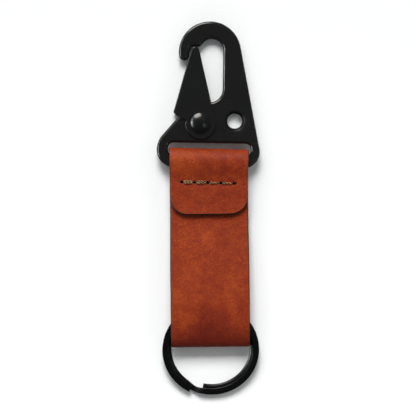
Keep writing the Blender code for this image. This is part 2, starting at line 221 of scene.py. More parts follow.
bar_axis = joint("hook_swing")["axis"]
plate_normal = -Vector(joint("gate_pivot")["axis"])
strap_place = Matrix.Translation((strap_shift, 0, 0)) @ Matrix.Rotation(strap_lean, 4, "Z")
hook_place = place(joint("hook_swing")["pos_m"], bar_axis, plate_normal)
gate_place = place(joint("gate_pivot")["pos_m"], bar_axis, plate_normal)
ring_place = place(joint("ring_spin")["pos_m"], strap_place.col[0].xyz, joint("ring_spin")["axis"])


# Shaping

def arc(centre, radius, start, end, steps):
    """Points on a circle, from one angle to another in degrees."""
    turns = [radians(start + (end - start) * i / steps) for i in range(steps + 1)]
    return [(centre[0] + radius * cos(a), centre[1] + radius * sin(a)) for a in turns]


def bend(points, steps):
    """A smooth bend through the first and last of four points, without its first point."""
    return [tuple(p) for p in interpolate_bezier(*map(Vector, points), steps + 1)][1:]


def smooth_step(value):
    value = min(max(value, 0.0), 1.0)
    return value * value * (3 - 2 * value)


def bump_of(distance, reach):
    """A soft hump: 1 in the middle and 0 well past the reach."""
    return exp(-(distance / reach) ** 2)


def new_verts(made):
    return [item for item in made["geom"] if isinstance(item, bmesh.types.BMVert)]


def new_edges(made):
    return [item for item in made["geom"] if isinstance(item, bmesh.types.BMEdge)]


def slab(outline, half):
    """A flat plate of this outline and half thickness."""
    bm = bmesh.new()
    verts = [bm.verts.new((x, y, -half)) for x, y in outline]
    edges = [bm.edges.new(pair) for pair in zip(verts, verts[1:] + verts[:1])]
    bmesh.ops.contextual_create(bm, geom=edges)
    lifted = bmesh.ops.extrude_face_region(bm, geom=bm.faces[:])
    bmesh.ops.translate(bm, verts=new_verts(lifted), vec=(0, 0, 2 * half))
    bmesh.ops.recalc_face_normals(bm, faces=bm.faces)
    return bm


def pressed_plate(name, outlines, half, edge, steps):
    """A plate cut to these outlines, with all of its edges rounded over."""
    curve = bpy.data.curves.new(name, "CURVE")
    curve.dimensions = "2D"
    curve.fill_mode = "BOTH"
    curve.bevel_depth = edge
    curve.bevel_resolution = steps - 1
    curve.offset = -edge
    curve.extrude = half - edge
    for outline in outlines:
        spline = curve.splines.new("POLY")
        spline.points.add(len(outline) - 1)
        for slot, (x, y) in zip(spline.points, outline):
            slot.co = (x, y, 0, 1)
        spline.use_cyclic_u = True
    drawn = bpy.data.objects.new(name, curve)
    bpy.context.scene.collection.objects.link(drawn)
    shape = drawn.evaluated_get(bpy.context.evaluated_depsgraph_get())
    mesh = bpy.data.meshes.new_from_object(shape)
    bpy.data.objects.remove(drawn)
    bm = bmesh.new()
    bm.from_mesh(mesh)
    bpy.data.meshes.remove(mesh)
    bmesh.ops.remove_doubles(bm, verts=bm.verts, dist=touching)
    bmesh.ops.recalc_face_normals(bm, faces=bm.faces)
    return bm


def turned(profile, steps):
    """A closed shape turned, as on a lathe, from a profile of radii and heights."""
    bm = bmesh.new()
    verts = [bm.verts.new((radius, 0, height)) for radius, height in profile]
    edges = [bm.edges.new(pair) for pair in zip(verts, verts[1:])]
    bmesh.ops.spin(
        bm, geom=verts + edges, cent=(0, 0, 0), axis=(0, 0, 1), angle=2 * pi, steps=steps, use_merge=True)
    bmesh.ops.remove_doubles(bm, verts=bm.verts, dist=touching)
    bmesh.ops.recalc_face_normals(bm, faces=bm.faces)
    return bm


def draw_along(bm, section, stations):
    """Draws a closed section through the stations, and closes both of its ends."""
    start = [bm.verts.new(stations[0] @ Vector((x, y, 0))) for x, y in section]
    edges = [bm.edges.new(pair) for pair in zip(start, start[1:] + start[:1])]
    bmesh.ops.contextual_create(bm, geom=edges)
    for before, after in zip(stations, stations[1:]):
        drawn = bmesh.ops.extrude_edge_only(bm, edges=edges)
        fresh = set(new_verts(drawn))
        edges = [e for e in new_edges(drawn) if e.verts[0] in fresh and e.verts[1] in fresh]
        bmesh.ops.transform(bm, matrix=after @ before.inverted(), verts=list(fresh))
    bmesh.ops.contextual_create(bm, geom=edges)
    bmesh.ops.recalc_face_normals(bm, faces=bm.faces)


def stations_along(points):
    """A frame at each point of a route, turned as little as the route allows."""
    route = [Vector(p) for p in points]
    ahead = [(b - a).normalized() for a, b in zip(route, route[1:])]
    ahead.append(ahead[-1])
    turn = ahead[0].to_track_quat("Z", "Y")
    stations = []
    for point, before, after in zip(route, [ahead[0]] + ahead, ahead):
        turn = before.rotation_difference(after) @ turn
        stations.append(Matrix.Translation(point) @ turn.to_matrix().to_4x4())
    return stations


def even_points(points, spacing):
    """The same route with points an even distance apart."""
    route = [Vector(p) for p in points]
    lengths = [0.0]
    for a, b in zip(route, route[1:]):
        lengths.append(lengths[-1] + (b - a).length)
    count = max(2, round(lengths[-1] / spacing))
    even, leg = [], 0
    for i in range(count + 1):
        wanted = lengths[-1] * i / count
        while leg < len(route) - 2 and lengths[leg + 1] < wanted:
            leg += 1
        share = (wanted - lengths[leg]) / (lengths[leg + 1] - lengths[leg])
        even.append(route[leg].lerp(route[leg + 1], share))
    return even, lengths[-1]


def soften(points, rounds=3):
    """The same route with its corners cut again and again, until it is smooth."""
    route = [Vector(p) for p in points]
    for _ in range(rounds):
        cut = [p for a, b in zip(route, route[1:]) for p in (a.lerp(b, 0.25), a.lerp(b, 0.75))]
        route = [route[0]] + cut + [route[-1]]
    return route


def finish_piece(name, bm, where, materials, sharp=40):
    """The finished piece, with its place in its mesh."""
    bm.transform(where)
    bm.normal_update()
    mesh = bpy.data.meshes.new(name)
    bm.to_mesh(mesh)
    bm.free()
    for material in materials:
        mesh.materials.append(material)
    mesh.shade_smooth()
    mesh.set_sharp_from_angle(angle=radians(sharp))
    piece = bpy.data.objects.new(name, mesh)
    bpy.context.scene.collection.objects.link(piece)
    return piece


def stand_for(piece, node, body):
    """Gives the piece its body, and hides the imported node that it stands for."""
    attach(piece, body)
    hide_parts(node)


def cut_away(piece, cutters, sharp=40):
    """Cuts the cutters out of the piece for good."""
    for number, cutter in enumerate(cutters):
        cutter.hide_render = True
        modifier = piece.modifiers.new(f"cut {number}", "BOOLEAN")
        modifier.operation = "DIFFERENCE"
        modifier.solver = "EXACT"
        modifier.material_mode = "TRANSFER"
        modifier.object = cutter
    shape = piece.evaluated_get(bpy.context.evaluated_depsgraph_get())
    mesh = bpy.data.meshes.new_from_object(shape)
    piece.modifiers.clear()
    mesh.set_sharp_from_angle(angle=radians(sharp))
    piece.data = mesh
    for cutter in cutters:
        bpy.data.objects.remove(cutter)


def level_faces(piece):
    """Keeps the shading of the flat faces flat right up to their rounded edges."""
    modifier = piece.modifiers.new("flat faces", "WEIGHTED_NORMAL")
    modifier.weight = 100
    modifier.keep_sharp = True


def cylinder(name, radius, bottom, top, where, materials, centre=(0, 0), stretch=1.0, segments=48):
    """An upright cylinder, stretched along Y where its hole isn't round."""
    bm = bmesh.new()
    bmesh.ops.create_cone(
        bm, cap_ends=True, segments=segments, radius1=radius, radius2=radius, depth=top - bottom)
    bmesh.ops.scale(bm, verts=bm.verts, vec=(1, stretch, 1))
    bmesh.ops.translate(bm, verts=bm.verts, vec=(*centre, (top + bottom) / 2))
    return finish_piece(name, bm, where, materials)


# Finishes

class Finish:
    """A material, and short ways to add and join its nodes."""

    def __init__(self, name, **values):
        self.material = bpy.data.materials.new(name)
        self.material.use_nodes = True
        self.tree = self.material.node_tree
        self.shader = self.tree.nodes["Principled BSDF"]
        for socket, value in values.items():
            self.shader.inputs[socket.replace("_", " ")].default_value = value

    def node(self, kind, settings=None, **inputs):
        made = self.tree.nodes.new("ShaderNode" + kind)
        for key, value in (settings or {}).items():
            setattr(made, key, value)
        for socket, value in inputs.items():
            self.join(value, made.inputs[socket.replace("_", " ")])
        return made

    def join(self, value, socket):
        if isinstance(value, bpy.types.NodeSocket):
            self.tree.links.new(value, socket)
        else:
            socket.default_value = value

    def set(self, socket, value):
        self.join(value, self.shader.inputs[socket])

    def surface_place(self, uv=None):
        if uv:
            return self.node("UVMap", {"uv_map": uv}).outputs["UV"]
        return self.node("TexCoord").outputs["Object"]

    def noise(self, place, scale, detail=2.0, roughness=0.5):
        made = self.node("TexNoise", Vector=place, Scale=scale, Detail=detail, Roughness=roughness)
        return made.outputs["Fac"]

    def spread(self, value, low, high, to_low=0.0, to_high=1.0):
        """Spreads the values from low to high over another range, and holds them in it."""
        made = self.node(
            "MapRange", {"clamp": True}, Value=value,
            From_Min=low, From_Max=high, To_Min=to_low, To_Max=to_high)
        return made.outputs["Result"]

    def math(self, kind, a, b=0.0):
        made = self.node("Math", {"operation": kind})
        self.join(a, made.inputs[0])
        self.join(b, made.inputs[1])
        return made.outputs["Value"]

    def mix(self, share, a, b, how="MIX"):
        made = self.node("Mix", {"data_type": "RGBA", "blend_type": how})
        self.join(share, made.inputs["Factor"])
        self.join(a, made.inputs[6])
        self.join(b, made.inputs[7])
        return made.outputs[2]

    def stretched(self, place, scale, turn=0.0):
        turned = self.node("Mapping", Vector=place, Rotation=(0, 0, turn)).outputs["Vector"]
        return self.node("Mapping", Vector=turned, Scale=scale).outputs["Vector"]

    def relief(self, height, strength, depth, below=None):
        made = self.node("Bump", Height=height, Strength=strength, Distance=depth)
        if below is not None:
            self.join(below, made.inputs["Normal"])
        return made.outputs["Normal"]


def waxed_leather():
    """Reddish-brown waxed leather: clouds where the wax has moved, one of them partly painted shade at
    the fold, fine pores, a few scuffs, and pale flecks that are partly painted sheen.
    """
    f = Finish("waxed_leather", Specular_IOR_Level=0.07)
    uv = f.surface_place("strip")
    tone = cloud_tone(f, f.surface_place())
    blotches = f.noise(uv, 3.4, 4, 0.62)
    for pattern, low, high, strength in (
            (blotches, 0.3, 0.7, 0.16), (f.noise(uv, 11, 3, 0.6), 0.3, 0.7, 0.1),
            (f.noise(uv, 26, 2, 0.8), 0.32, 0.68, 0.24),
            (f.noise(f.stretched(uv, (7, 40, 1), radians(45)), 1.0, 4, 0.65), 0.35, 0.7, 0.12)):
        tone = f.math("ADD", tone, f.spread(pattern, low, high, -strength, strength))
    scratches = f.noise(f.stretched(uv, (3, 55, 1), radians(38)), 1.0, 2, 0.6)
    tone = f.math("ADD", tone, f.spread(scratches, 0.56, 0.74, 0.0, 0.35))
    tone = f.math("ADD", tone, 0.5)
    colour = f.mix(f.spread(tone, 0.0, 0.5), (0.115, 0.0105, 0.0045, 1), (0.222, 0.0255, 0.0062, 1))
    colour = f.mix(f.spread(tone, 0.5, 1.0), colour, (0.35, 0.06, 0.009, 1))
    # Pale flecks, partly wax bloom and partly painted sheen
    bloom_and_sheen = f.spread(f.noise(uv, 34, 2, 0.7), 0.45, 0.75, 0.0, 0.14)
    f.set("Base Color", f.mix(bloom_and_sheen, colour, (0.24, 0.085, 0.06, 1)))
    f.set("Roughness", f.spread(blotches, 0.3, 0.7, 0.42, 0.56))
    pores = f.node("TexVoronoi", {"feature": "DISTANCE_TO_EDGE"}, Vector=uv, Scale=30.0)
    skin = f.relief(f.noise(uv, 9, 4, 0.6), 0.4, 0.25 * mm)
    f.set("Normal", f.relief(f.spread(pores.outputs["Distance"], 0.0, 0.25), 0.3, 0.06 * mm, skin))
    return f.material


def cloud_tone(f, place_in):
    """Soft clouds in the dye, the last of them partly painted shade over the fold, with their outlines
    broken up.
    """
    broken = f.node("TexNoise", Vector=place_in, Scale=190.0, Detail=3.0, Roughness=0.6)
    moved = f.node("VectorMath", {"operation": "MULTIPLY_ADD"})
    f.join(broken.outputs["Color"], moved.inputs[0])
    f.join((cloud_break * mm, cloud_break * mm, 0), moved.inputs[1])
    f.join(place_in, moved.inputs[2])
    tone = 0.0
    for x, y, across, along, strength in dye_and_fold_shade_clouds:
        shift = (-(x + cloud_break / 2) / across, -(y + cloud_break / 2) / along, 0)
        size = (1 / (across * mm), 1 / (along * mm), 0)
        near = f.node("Mapping", Vector=moved.outputs["Vector"], Location=shift, Scale=size)
        away = f.node("VectorMath", {"operation": "LENGTH"}, Vector=near.outputs["Vector"])
        tone = f.math("ADD", f.spread(away.outputs["Value"], 0.2, 1.6, strength, 0.0), tone)
    return tone


def burnished_edge():
    """The cut edge, rubbed dark and smooth, with its fibres running along it."""
    f = Finish("burnished_edge", Specular_IOR_Level=0.2)
    uv = f.surface_place("strip")
    fibres = f.noise(f.stretched(uv, (60, 4, 60)), 1.0, 3, 0.6)
    f.set("Base Color", f.mix(fibres, (0.009, 0.0045, 0.003, 1), (0.035, 0.012, 0.006, 1)))
    f.set("Roughness", f.spread(fibres, 0.3, 0.7, 0.45, 0.6))
    f.set("Normal", f.relief(fibres, 0.3, 0.1 * mm))
    return f.material


def flesh_side():
    """The rough inner side of the leather."""
    f = Finish("flesh_side", Roughness=0.85)
    uv = f.surface_place("strip")
    nap = f.noise(uv, 40, 4, 0.7)
    colour = f.mix(f.noise(uv, 4, 3, 0.6), (0.2, 0.06, 0.025, 1), (0.32, 0.12, 0.05, 1))
    f.set("Base Color", f.mix(f.spread(nap, 0.3, 0.7, 0.0, 0.5), colour, (0.12, 0.035, 0.015, 1)))
    f.set("Normal", f.relief(nap, 0.6, 0.15 * mm))
    return f.material


# Painted shade: the walls of the awl holes are painted nearly black, for the shade down inside them
def awl_hole_shade():
    f = Finish("awl_hole_shade", Roughness=0.8)
    depth = f.noise(f.surface_place(), 3000, 2)
    f.set("Base Color", f.mix(depth, (0.008, 0.004, 0.003, 1), (0.02, 0.009, 0.006, 1)))
    return f.material


def waxed_thread():
    """Golden linen thread, with painted shade in the grooves between its plies, and dark where it goes
    down into the leather: partly wax, partly painted shade.
    """
    f = Finish("waxed_thread", Roughness=0.65, Specular_IOR_Level=0.25)
    place_in = f.surface_place()
    hairs = f.noise(f.stretched(place_in, (1, 4, 4)), 2600, 3, 0.7)
    patches = f.noise(place_in, 900, 2)
    colour = f.mix(f.spread(patches, 0.35, 0.65), (0.14, 0.05, 0.016, 1), (0.37, 0.16, 0.055, 1))
    colour = f.mix(f.spread(hairs, 0.35, 0.7, 0.0, 0.5), colour, (0.52, 0.28, 0.115, 1))
    # Painted shade in the grooves between the plies, where the surface lies near the thread's core
    ply_groove_shade = f.node("Attribute", {"attribute_name": "from_core"}).outputs["Fac"]
    colour = f.mix(f.spread(ply_groove_shade, 0.5, 0.92), (0.045, 0.015, 0.006, 1), colour)
    # Painted shade, partly wax too: darker where the thread goes down below the leather's surface
    height = f.node("SeparateXYZ", Vector=place_in).outputs["Z"]
    from_middle = f.math("ABSOLUTE", f.math("SUBTRACT", height, stack_height))
    surface = layer_step + leather / 2
    clear_of_hole_shade = f.spread(from_middle, surface - 0.12 * mm, surface + 0.28 * mm)
    f.set("Base Color", f.mix(clear_of_hole_shade, (0.02, 0.008, 0.004, 1), colour))
    f.set("Normal", f.relief(hairs, 0.5, 0.04 * mm))
    return f.material


def black_paint(name, colour, low, high, peel, gloss=0.5):
    """Baked black paint: an even skin with a little orange peel, duller in faint patches."""
    f = Finish(name)
    place_in = f.surface_place()
    slant = f.node("LayerWeight", Blend=0.5).outputs["Facing"]
    f.set("Specular IOR Level", f.spread(slant, 0.22, 0.55, gloss, 0.12 * gloss))
    patches = f.noise(place_in, 160, 3, 0.6)
    skin = f.noise(place_in, 1500, 2, 0.5)
    f.set("Base Color", f.mix(patches, colour, tuple(c * 1.7 for c in colour[:3]) + (1,)))
    f.set("Roughness", f.spread(patches, 0.3, 0.7, low, high))
    f.set("Normal", f.relief(skin, peel, 0.03 * mm))
    return f.material


def bright_wire():
    f = Finish("bright_wire", Metallic=1.0)
    drawn = f.noise(f.surface_place(), 900, 2)
    f.set("Base Color", f.mix(drawn, (0.5, 0.5, 0.5, 1), (0.62, 0.61, 0.6, 1)))
    f.set("Roughness", f.spread(drawn, 0.3, 0.7, 0.22, 0.36))
    return f.material


# Strap

def loop_skew(x, y):
    """How far the sewn end of the strap is drawn askew by the hook's bar."""
    return (x * tan(hook_skew) + hook_pull) * smooth_step(y / stitch_y)


def strap_line():
    """The middle of the leather seen from the side, from the hidden end to the flap's end."""
    flat = leather / 2
    lower = stack_height - layer_step
    upper = stack_height + layer_step
    loop = stack_height - flat
    front_start = (2 * mm, stack_height)
    line = [(hidden_end_y, stack_height), (stitch_y, stack_height), (5 * mm, stack_height)]
    line.append(front_start)
    line += bend((front_start, (-3 * mm, stack_height), (-24 * mm, front_crest[1]), front_crest), 60)
    line += bend((front_crest, (-37 * mm, front_crest[1]), (fold[0], 6.3 * mm), fold), 50)
    line += bend((fold, (fold[0], 1.9 * mm), (-41.5 * mm, flat), (-37 * mm, flat)), 40)
    line += [(-23 * mm, flat), (-8 * mm, flat)]
    line += bend(((-8 * mm, flat), (0, flat), (4 * mm, lower), (stitch_y, lower)), 40)
    loop_start = (bar_y, stack_height - loop)
    line += bend(((stitch_y, lower), (10.6 * mm, lower), (12.2 * mm, flat), loop_start), 30)
    line += arc((bar_y, stack_height), loop, -90, 90, 60)[1:]
    loop_end = (bar_y, stack_height + loop)
    line += bend((loop_end, (12.2 * mm, loop_end[1]), (10.6 * mm, upper), (stitch_y, upper)), 30)
    corner_start = flap_end_y + flap_corner
    line += [(5.6 * mm, upper), (corner_start, upper)]
    steps = 24
    for i in range(1, steps + 1):
        reach = i / steps
        line.append((corner_start - flap_corner * reach, upper + flap_lift * reach * reach))
    return line


def flat_outline(x, s, length):
    """The outward direction at the rim of the flat strip, for a point on the inner rim."""
    half = strap_width / 2 - edge_round
    corner = flap_corner - edge_round
    near = s - (length - flap_corner)
    if near > touching and abs(x) > half - corner - touching:
        centre = half - corner
        away = Vector((abs(x) - centre, near)).normalized()
        return Vector((away.x * (1 if x > 0 else -1), away.y, 0))
    out = Vector((0, 0, 0))
    if abs(x) > half - touching:
        out.x = 1 if x > 0 else -1
    if s < edge_round + touching:
        out.y = -1
    if s > length - edge_round - touching:
        out.y = 1
    return out


def cut_flat(length):
    """The strip as it is cut: flat, its flap end with round corners, and its edges rounded."""
    half = strap_width / 2 - edge_round
    corner = flap_corner - edge_round
    straight = length - flap_corner - edge_round
    corner_rows = 14
    rows = round(straight / strip_spacing) + corner_rows
    bm = bmesh.new()
    bmesh.ops.create_grid(bm, x_segments=strip_columns, y_segments=rows, size=0.5)
    for vert in bm.verts:
        row = round((vert.co.y + 0.5) * rows)
        across = 2 * vert.co.x
        turn = pi / 2 * max(0, row - (rows - corner_rows)) / corner_rows
        s = edge_round + straight * min(1, row / (rows - corner_rows))
        width = half - corner * (1 - cos(turn))
        vert.co = (across * width, s + corner * sin(turn), leather / 2)
    for face in bm.faces:
        face.material_index = 0
    under = bmesh.ops.duplicate(bm, geom=bm.verts[:] + bm.edges[:] + bm.faces[:])
    under_faces = [item for item in under["geom"] if isinstance(item, bmesh.types.BMFace)]
    under_verts = set(new_verts(under))
    rim = [e for e in bm.edges if e.is_boundary and e.verts[0] not in under_verts]
    bmesh.ops.translate(bm, verts=list(under_verts), vec=(0, 0, -leather))
    bmesh.ops.reverse_faces(bm, faces=under_faces)
    for face in under_faces:
        face.material_index = 2
    outward = {}
    for edge in rim:
        for vert in edge.verts:
            outward[vert] = flat_outline(vert.co.x, vert.co.y, length)
    top_faces = set(bm.faces)
    turns = [pi / 2 * (i + 1) / edge_steps for i in range(edge_steps)]
    profile = [(edge_round * sin(a), leather / 2 - edge_round * (1 - cos(a))) for a in turns]
    profile += [(reach, -height) for reach, height in reversed(profile)] + [(0, -leather / 2)]
    for (last_reach, last_height), (reach, height) in zip([(0, leather / 2)] + profile, profile):
        drawn = bmesh.ops.extrude_edge_only(bm, edges=rim)
        fresh = set(new_verts(drawn))
        rim = [e for e in new_edges(drawn) if e.verts[0] in fresh and e.verts[1] in fresh]
        moved = {}
        for vert in fresh:
            others = [edge.other_vert(vert) for edge in vert.link_edges]
            before = next(other for other in others if other not in fresh)
            moved[vert] = outward[before]
            vert.co += outward[before] * (reach - last_reach)
            vert.co.z = height
        outward = moved
    for face in bm.faces:
        if face not in top_faces:
            face.material_index = 1
    bmesh.ops.remove_doubles(bm, verts=bm.verts, dist=2 * touching)
    bmesh.ops.recalc_face_normals(bm, faces=bm.faces)
    strip = bm.loops.layers.uv.new("strip")
    for face in bm.faces:
        for loop in face.loops:
            loop[strip].uv = (loop.vert.co.x / cm, loop.vert.co.y / cm)
    return bm


def press_for_ring(point):
    """Presses the edges of the fold in, where the ring's two turns run through."""
    in_ring = to_ring @ point
    hold = 1 - smooth_step((abs(in_ring.z - press_middle) - press_half) / press_fade)
    side = abs(in_ring.x)
    if hold <= 0 or abs(in_ring.y) >= press_near or side <= press_start:
        return point
    lower, upper = ring_rooms
    room = lower + (upper - lower) * smooth_step(in_ring.z / rooms_meet)
    limit = sqrt(room ** 2 - in_ring.y ** 2)
    outer = strap_width / 2 + press_spare
    pressed = press_start + (side - press_start) * (limit - press_start) / (outer - press_start)
    wanted = min(side, pressed) * (1 if in_ring.x > 0 else -1)
    in_ring.x += (wanted - in_ring.x) * hold
    return to_ring.inverted() @ in_ring


def wave_at(x, s, middle):
    """The unevenness of the leather, which fades out where its layers lie together."""
    if middle.z <= leather:
        return 0.0
    free = smooth_step((wave_start_y - middle.y) / wave_rise)
    if middle.y < wave_end_y:
        free *= smooth_step((middle.y - fold[0]) / wave_fall)
    return noise.noise(Vector((x / wave_width, s / wave_length, wave_pattern))) * wave_height * free


def dimple_at(x, height, middle):
    """How far the sewing draws in the two outer faces of the sewn layers."""
    if height <= 0 or abs(middle.z - stack_height) <= leather / 2:
        return 0.0
    past_row = abs(x - stitch_shift) - stitch_pitch * 2
    inside = 1 - smooth_step((past_row - dimple_end) / dimple_fade)
    return dimple_depth * inside * bump_of(middle.y - stitch_y, dimple_reach)


def fold_strip(bm, line, length):
    """Lays the flat strip along its route, uneven, drawn askew and pressed as by use."""
    points, _ = even_points([(0, y, z) for y, z in line], 0.1 * mm)
    count = len(points) - 1
    normals = []
    for i in range(count + 1):
        ahead = points[min(i + 3, count)] - points[max(i - 3, 0)]
        normals.append(Vector((0, ahead.z, -ahead.y)).normalized())
    for vert in bm.verts:
        x, s, height = vert.co
        at = min(max(s / length * count, 0), count - 0.001)
        i = int(at)
        middle = points[i].lerp(points[i + 1], at - i)
        normal = normals[i].lerp(normals[i + 1], at - i).normalized()
        point = middle + normal * (height + wave_at(x, s, middle))
        point.x = x * (1 - hook_taper * smooth_step((middle.y - taper_start_y) / taper_rise))
        in_loop = smooth_step((middle.y - loop_start_y) / loop_rise)
        point.x += loop_spread * (x / strap_width + 0.5) * in_loop
        point -= normal * dimple_at(x, height, middle)
        point.y += loop_skew(x, point.y)
        vert.co = press_for_ring(point)


def hole_x(index):
    return stitch_shift + stitch_pitch * (index - (stitch_holes - 1) / 2)


def make_strap():
    line = strap_line()
    _, length = even_points([(0, y, z) for y, z in line], strip_spacing)
    bm = cut_flat(length)
    fold_strip(bm, line, length)
    strap = finish_piece("sewn_strap", bm, strap_place, [waxed, edge_finish, flesh, hole_shade_finish], 50)
    cutters = []
    for index in range(stitch_holes):
        x = hole_x(index)
        where = (x, stitch_y + loop_skew(x, stitch_y))
        # The holes' walls take the painted shade of the awl holes
        cutters.append(cylinder(
            f"awl_{index}", hole_across / 2, -stack_height, 3 * stack_height, strap_place,
            [hole_shade_finish], where, hole_along / hole_across, 20))
    cut_away(strap, cutters)
    stand_for(strap, "leather_strap", "strap")


# Sewing

def thread_line():
    """One thread: along the row, back over the gaps that it left, and two stitches again."""
    near, far = strand_offset, -strand_offset
    legs = [  # from hole to hole, in front and behind in turn, and the strand's side in the row
        (0, 1, near), (1, 2, 0.0), (2, 3, 0.2 * far), (3, 4, 0.0), (4, 3, 0.3 * far), (3, 2, 0.0),
        (2, 1, near), (1, 0, 0.0), (0, 1, far), (1, 2, 0.0), (2, 1, far)]
    surface = layer_step + leather / 2
    route = []
    for number, (start, end, side) in enumerate(legs):
        if number % 2 == 0:
            route += front_stitch(start, end, side, surface)
        else:
            heading = hole_clear if end > start else -hole_clear
            level = stack_height - surface - back_proud
            route += [(hole_x(start) + heading, 0, level), (hole_x(end) - heading, 0, level)]
    tail = stack_height - surface - tail_proud
    start_tail, end_tail = [
        [(x, side, tail), (x - tail_length, side, tail)] for x, side, _ in (route[0], route[-1])]
    return start_tail[::-1] + route + end_tail


def front_stitch(start, end, side, surface):
    """One stitch comes up steeply at its left, stands proud there, and sinks towards its right."""
    left, right = sorted((hole_x(start), hole_x(end)))
    left += hole_clear
    right -= hole_clear
    beside_another = abs(side) == strand_offset
    proud = (0.3 if beside_another else 0.2) * mm
    shape = [  # share of the way, height over the leather, and share of the strand's side
        (0.0, -0.75 * mm, 0.5), (0.06, 0.75 * proud, 0.8), (0.28, proud, 1.0),
        (0.6, 0.5 * proud, 1.0), (0.85, -0.16 * mm, 0.8), (1.0, -0.75 * mm, 0.4)]
    points = [(left + (right - left) * along, side * spread, stack_height + surface + height)
              for along, height, spread in shape]
    return points if end > start else points[::-1]


def make_thread():
    route = [(x, stitch_y + side + loop_skew(x, stitch_y), z) for x, side, z in thread_line()]
    points, length = even_points(soften(route), 0.1 * mm)
    stations = stations_along(points)
    section = arc((0, 0), ply_radius, 0, 315, 7)
    bm = bmesh.new()
    for ply in range(2):
        twisted = []
        for i, station in enumerate(stations):
            turn = 2 * pi * (i * length / len(stations) / ply_turn + ply / 2)
            offset = Matrix.Translation((ply_offset * cos(turn), ply_offset * sin(turn), 0))
            twisted.append(station @ offset)
        draw_along(bm, section, twisted)
    # How far each point lies from the core, for the painted shade between the plies
    from_core = bm.verts.layers.float.new("from_core")
    for index, vert in enumerate(bm.verts):
        core = stations[index // len(section) % len(stations)].translation
        vert[from_core] = (vert.co - core).length / (ply_offset + ply_radius)
    thread = finish_piece("saddle_stitches", bm, strap_place, [thread_finish], 60)
    stand_for(thread, "stitch_thread", "strap")


# Hook plate

def plate_outline():
    """Anticlockwise: the bar, the right limb, the arch, the nose, then back down the window's
    edge to the round stub under the gate, and the left shoulder."""
    right_slope = 11.45
    points = arc((11.1 * mm, 3.29 * mm), 5.25 * mm, -90, right_slope, 24)
    points += arc(arch_centre, arch_radius, right_slope, 184, 64)
    points += arc((-8.45 * mm, 34.05 * mm), 1.6 * mm, 190, 340, 24)
    points += [(-6.45 * mm, 36.3 * mm)]
    points += arc((-5.75 * mm, 36.3 * mm), 0.7 * mm, 160, 90, 8)
    points += arc((-4.0 * mm, 38.1 * mm), 1.2 * mm, -92, -45, 8)
    points += arc((0.37 * mm, 35.72 * mm), 3.75 * mm, 125, 0, 32)
    points += arc((-0.2 * mm, 23.33 * mm), 4.33 * mm, 0, -84, 22)
    points += arc(pivot, stub_radius, 72, 160, 24)
    points += arc((-9.19 * mm, 3.5 * mm), 7.52 * mm, 135.6, 176, 12)
    points += arc((-11.19 * mm, 3.54 * mm), 5.5 * mm, 180, 270, 22)
    return points


def slot_outline():
    points = []
    for side, level, radius, start in (
            (slot_right, bar_half, bar_corner, -90), (slot_right, slot_top, slot_corner, 0),
            (slot_left, slot_top, slot_corner, 90), (slot_left, bar_half, bar_corner, 180)):
        x = side - radius if side > 0 else side + radius
        y = level + radius if level == bar_half else level - radius
        points += arc((x, y), radius, start, start + 90, 12)
    return points


def cord_bore():
    """The cutter for the cord hole, which flares out at both faces of the plate."""
    wall = cord_hole_radius
    sink = wall + cord_hole_sink
    rim = wall + cord_hole_flare
    above = plate_half + 0.3 * mm
    half = [(wall, 0), (wall, 0.3 * mm)]
    half += bend((half[-1], (wall, 0.65 * mm), (sink - 0.25 * mm, 0.9 * mm), (sink, 1.2 * mm)), 6)
    half += bend((half[-1], (sink + 0.12 * mm, 1.35 * mm), (rim - 0.15 * mm, plate_half),
                  (rim, plate_half + 0.03 * mm)), 5)
    half += [(rim, above), (0, above)]
    bm = turned([(x, -z) for x, z in half[:0:-1]] + half, 48)
    bmesh.ops.translate(bm, verts=bm.verts, vec=(*cord_hole, 0))
    return finish_piece("cord_bore", bm, hook_place, [hook_paint])


def make_plate():
    outlines = [plate_outline(), slot_outline()]
    bm = pressed_plate("hook_body", outlines, plate_half, plate_edge, plate_edge_steps)
    plate = finish_piece("hook_body", bm, hook_place, [hook_paint], 30)
    below, above = -2 * plate_half, 2 * plate_half
    lowered = gate_place @ Matrix.Translation((0, 0, leg_recess_top - plate_half))
    cut_away(plate, [
        cord_bore(),
        cylinder("rivet_bore", bore_radius, below, above, gate_place, [hook_paint]),
        cylinder("spring_pocket", spring_pocket, below, spring_pocket_top, gate_place, [hook_paint]),
        cylinder("spring_end_hole", spring_end_hole, 0, spring_end_top, gate_place, [hook_paint],
                 (0, -spring_radius)),
        finish_piece("leg_recess", slab(leg_recess, plate_half), lowered, [hook_paint])])
    level_faces(plate)
    stand_for(plate, "hook_plate", "hook")


# Gate

def gate_fold_side(inset=0.0):
    """The closed side of the gate: up the fold and round the tip, this far inside it."""
    lean = atan2(gate_rise[1], gate_rise[0])
    up = Vector((cos(lean), sin(lean)))
    corner = Vector(gate_ear) + up * gate_ear_round + Vector((sin(lean), -cos(lean))) * inset
    return [tuple(corner)] + arc((-4.93 * mm, 35.45 * mm), 1.33 * mm - inset, degrees(lean) + 90, 15, 16)


def gate_ear_bend():
    ear = Vector(gate_ear)
    start = ear + (Vector(gate_ear_inner) - ear).normalized() * gate_ear_round
    end = Vector(gate_fold_side()[0])
    return [tuple(start)] + bend((start, ear.lerp(start, 0.45), ear.lerp(end, 0.45), end), 4)[:-1]


def gate_outline():
    """The fold side first, then down the open side, round the rivet and out to the ear."""
    side = gate_fold_side()
    round_end = arc((-2.75 * mm, 11.9 * mm), 4.85 * mm, 13.3, -195, 52)
    return side + round_end + [gate_ear_inner] + gate_ear_bend()


def to_pivot(points):
    return [(x - pivot[0], y - pivot[1]) for x, y in points]


def rim_edges(bm, wanted):
    """The edges round both flat faces of the gate whose two ends pass the test."""
    sharp = 1.0  # in radians
    chosen = []
    for edge in bm.edges:
        height, other_height = [vert.co.z for vert in edge.verts]
        level = abs(height - other_height) < touching and abs(abs(height) - gate_half) < touching
        if level and len(edge.link_faces) == 2 and edge.calc_face_angle() > sharp:
            if all(wanted(vert) for vert in edge.verts):
                chosen.append(edge)
    return chosen


